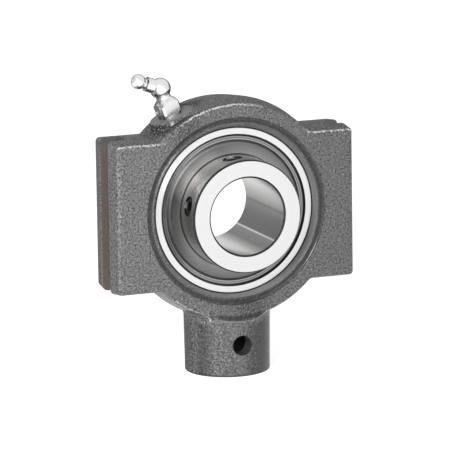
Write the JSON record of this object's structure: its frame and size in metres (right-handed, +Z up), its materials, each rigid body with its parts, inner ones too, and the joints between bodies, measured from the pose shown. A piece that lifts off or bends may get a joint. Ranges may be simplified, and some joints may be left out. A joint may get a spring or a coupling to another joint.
{
  "type": "take up bearing unit",
  "caption": "Take up bearing unit: a cast housing with slotted guide wings and a socketed rod shank round a self-aligning ball bearing insert with a set screw collar.",
  "frame": {"origin": "centre of the bearing, on the shaft's axis and midway through the outer ring", "axes": "+Z up, away from the rod shank; +X towards the wing that is on the right when the collar faces the viewer; -Y out of the bore on the collar side"},
  "size_m": [0.1046, 0.0432, 0.1255],
  "materials": {
    "casting": "sand cast with a thin dull grey coat, machined in the slots, the seat, the socket and the holes",
    "ground_steel": "fine ground",
    "ball_steel": "polished",
    "cage_sheet": "stamped",
    "dull_sheet": "pressed, satin",
    "zinc_sheet": "pressed, plated",
    "seal_rubber": "matt moulded",
    "black_steel": "black oxide",
    "plated_steel": "bright zinc plate",
    "spring_steel": "drawn wire"
  },
  "bodies": {
    "housing": {"housing": "casting", "grease_fitting_body": "plated_steel", "fitting_spring": "spring_steel"},
    "outer_race": {"outer_ring": "ground_steel", "front_seal_case": "zinc_sheet", "rear_seal_case": "zinc_sheet", "front_seal_lip": "seal_rubber", "rear_seal_lip": "seal_rubber"},
    "inner_race": {"inner_ring": "ground_steel", "front_flinger": "dull_sheet", "rear_flinger": "dull_sheet"},
    "cage": {"cage_front_half": "cage_sheet", "cage_rear_half": "cage_sheet", "cage_rivets": "cage_sheet"},
    "ball_1": {"ball_1": "ball_steel"},
    "ball_2": {"ball_2": "ball_steel"},
    "ball_3": {"ball_3": "ball_steel"},
    "ball_4": {"ball_4": "ball_steel"},
    "ball_5": {"ball_5": "ball_steel"},
    "ball_6": {"ball_6": "ball_steel"},
    "ball_7": {"ball_7": "ball_steel"},
    "ball_8": {"ball_8": "ball_steel"},
    "ball_9": {"ball_9": "ball_steel"},
    "set_screw_1": {"set_screw_1": "black_steel"},
    "set_screw_2": {"set_screw_2": "black_steel"},
    "fitting_check_ball": {"fitting_check_ball": "ball_steel"}
  },
  "joints": [
    {"name": "self_align", "type": "hinge", "parent": "housing", "child": "outer_race", "pos_m": [0, 0, 0], "axis": [1, 0, 0], "range_deg": [-2, 2]},
    {"name": "shaft_spin", "type": "hinge", "parent": "outer_race", "child": "inner_race", "pos_m": [0, 0, 0], "axis": [0, 1, 0], "continuous": true},
    {"name": "cage_orbit", "type": "hinge", "parent": "outer_race", "child": "cage", "pos_m": [0, 0, 0], "axis": [0, 1, 0], "continuous": true},
    {"name": "ball_1_roll", "type": "hinge", "parent": "cage", "child": "ball_1", "pos_m": [0, 0, 0.02676], "axis": [0, 1, 0], "continuous": true},
    {"name": "ball_2_roll", "type": "hinge", "parent": "cage", "child": "ball_2", "pos_m": [-0.0172, 0, 0.0205], "axis": [0, 1, 0], "continuous": true},
    {"name": "ball_3_roll", "type": "hinge", "parent": "cage", "child": "ball_3", "pos_m": [-0.02635, 0, 0.00465], "axis": [0, 1, 0], "continuous": true},
    {"name": "ball_4_roll", "type": "hinge", "parent": "cage", "child": "ball_4", "pos_m": [-0.02318, 0, -0.01338], "axis": [0, 1, 0], "continuous": true},
    {"name": "ball_5_roll", "type": "hinge", "parent": "cage", "child": "ball_5", "pos_m": [-0.00915, 0, -0.02515], "axis": [0, 1, 0], "continuous": true},
    {"name": "ball_6_roll", "type": "hinge", "parent": "cage", "child": "ball_6", "pos_m": [0.00915, 0, -0.02515], "axis": [0, 1, 0], "continuous": true},
    {"name": "ball_7_roll", "type": "hinge", "parent": "cage", "child": "ball_7", "pos_m": [0.02318, 0, -0.01338], "axis": [0, 1, 0], "continuous": true},
    {"name": "ball_8_roll", "type": "hinge", "parent": "cage", "child": "ball_8", "pos_m": [0.02635, 0, 0.00465], "axis": [0, 1, 0], "continuous": true},
    {"name": "ball_9_roll", "type": "hinge", "parent": "cage", "child": "ball_9", "pos_m": [0.0172, 0, 0.0205], "axis": [0, 1, 0], "continuous": true},
    {"name": "set_screw_1_turn_in", "type": "slide", "parent": "inner_race", "child": "set_screw_1", "axis": [0.1392, 0, -0.9903], "range_m": [-0.0015, 0.0007]},
    {"name": "set_screw_2_turn_in", "type": "slide", "parent": "inner_race", "child": "set_screw_2", "axis": [0.9781, 0, -0.2079], "range_m": [-0.0015, 0.0007]},
    {"name": "check_ball_lift", "type": "slide", "parent": "housing", "child": "fitting_check_ball", "axis": [0.9397, 0, -0.342], "range_m": [0, 0.0008], "stiffness_N_per_m": 500, "springref_m": -0.0005, "deforming": ["fitting_spring"]}
  ],
  "couplings": [
    {"joint": "cage_orbit", "follows": "shaft_spin", "ratio": 0.39619},
    {"joint": "ball_1_roll", "follows": "shaft_spin", "ratio": -2.3045},
    {"joint": "ball_2_roll", "follows": "shaft_spin", "ratio": -2.3045},
    {"joint": "ball_3_roll", "follows": "shaft_spin", "ratio": -2.3045},
    {"joint": "ball_4_roll", "follows": "shaft_spin", "ratio": -2.3045},
    {"joint": "ball_5_roll", "follows": "shaft_spin", "ratio": -2.3045},
    {"joint": "ball_6_roll", "follows": "shaft_spin", "ratio": -2.3045},
    {"joint": "ball_7_roll", "follows": "shaft_spin", "ratio": -2.3045},
    {"joint": "ball_8_roll", "follows": "shaft_spin", "ratio": -2.3045},
    {"joint": "ball_9_roll", "follows": "shaft_spin", "ratio": -2.3045}
  ]
}
